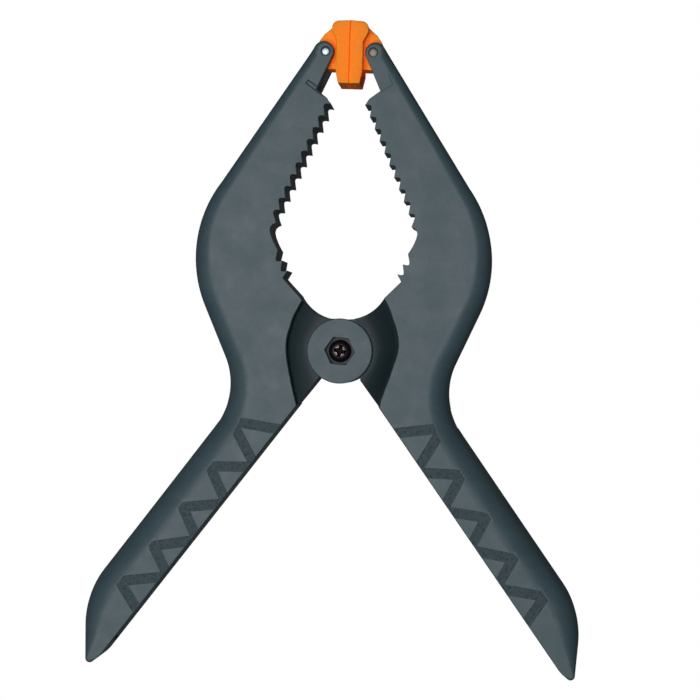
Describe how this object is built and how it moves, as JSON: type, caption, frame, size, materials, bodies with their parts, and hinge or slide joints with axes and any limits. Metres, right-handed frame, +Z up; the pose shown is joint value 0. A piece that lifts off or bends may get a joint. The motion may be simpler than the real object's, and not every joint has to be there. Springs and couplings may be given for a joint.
{
  "type": "spring clamp",
  "caption": "Moulded nylon spring clamp with toothed jaws, forked tips, swivelling orange pads, a torsion spring at the pivot and channelled handles.",
  "frame": {"origin": "on the pivot axis, in the plane the clamp rests on when it lies on its side", "axes": "+Y from the pivot towards the pads, +X towards the right handle, +Z up through the thickness"},
  "size_m": [0.1704, 0.2238, 0.028],
  "materials": {
    "nylon": "glass-filled nylon as moulded, faintly mottled, with stippled grip bands",
    "orange_plastic": "satin injection-moulded plastic",
    "pin_steel": "drawn steel pin with cut ends",
    "fastener_steel": "dull zinc plate",
    "spring_steel": "drawn spring wire, lightly oiled"
  },
  "bodies": {
    "left_arm": {"left_arm": "nylon", "left_pad_pin": "pin_steel", "torsion_spring": "spring_steel"},
    "right_arm": {"right_arm": "nylon", "right_pad_pin": "pin_steel", "pivot_screw": "fastener_steel", "pivot_nut": "fastener_steel"},
    "left_pad": {"left_pad": "orange_plastic"},
    "right_pad": {"right_pad": "orange_plastic"}
  },
  "joints": [
    {"name": "jaw_open", "type": "hinge", "parent": "left_arm", "child": "right_arm", "pos_m": [0, 0, 0.014], "axis": [0, 0, -1], "range_deg": [0, 56], "stiffness_Nm_per_rad": 4.4, "springref_deg": -97.4, "deforming": ["torsion_spring"]},
    {"name": "left_pad_swivel", "type": "hinge", "parent": "left_arm", "child": "left_pad", "pos_m": [-0.0082, 0.1028, 0.014], "axis": [0, 0, -1], "range_deg": [0, 28]},
    {"name": "right_pad_swivel", "type": "hinge", "parent": "right_arm", "child": "right_pad", "pos_m": [0.0082, 0.1028, 0.014], "axis": [0, 0, 1], "range_deg": [0, 28]}
  ],
  "couplings": [
    {"joint": "left_pad_swivel", "follows": "jaw_open", "ratio": 0.5},
    {"joint": "right_pad_swivel", "follows": "jaw_open", "ratio": 0.5}
  ]
}
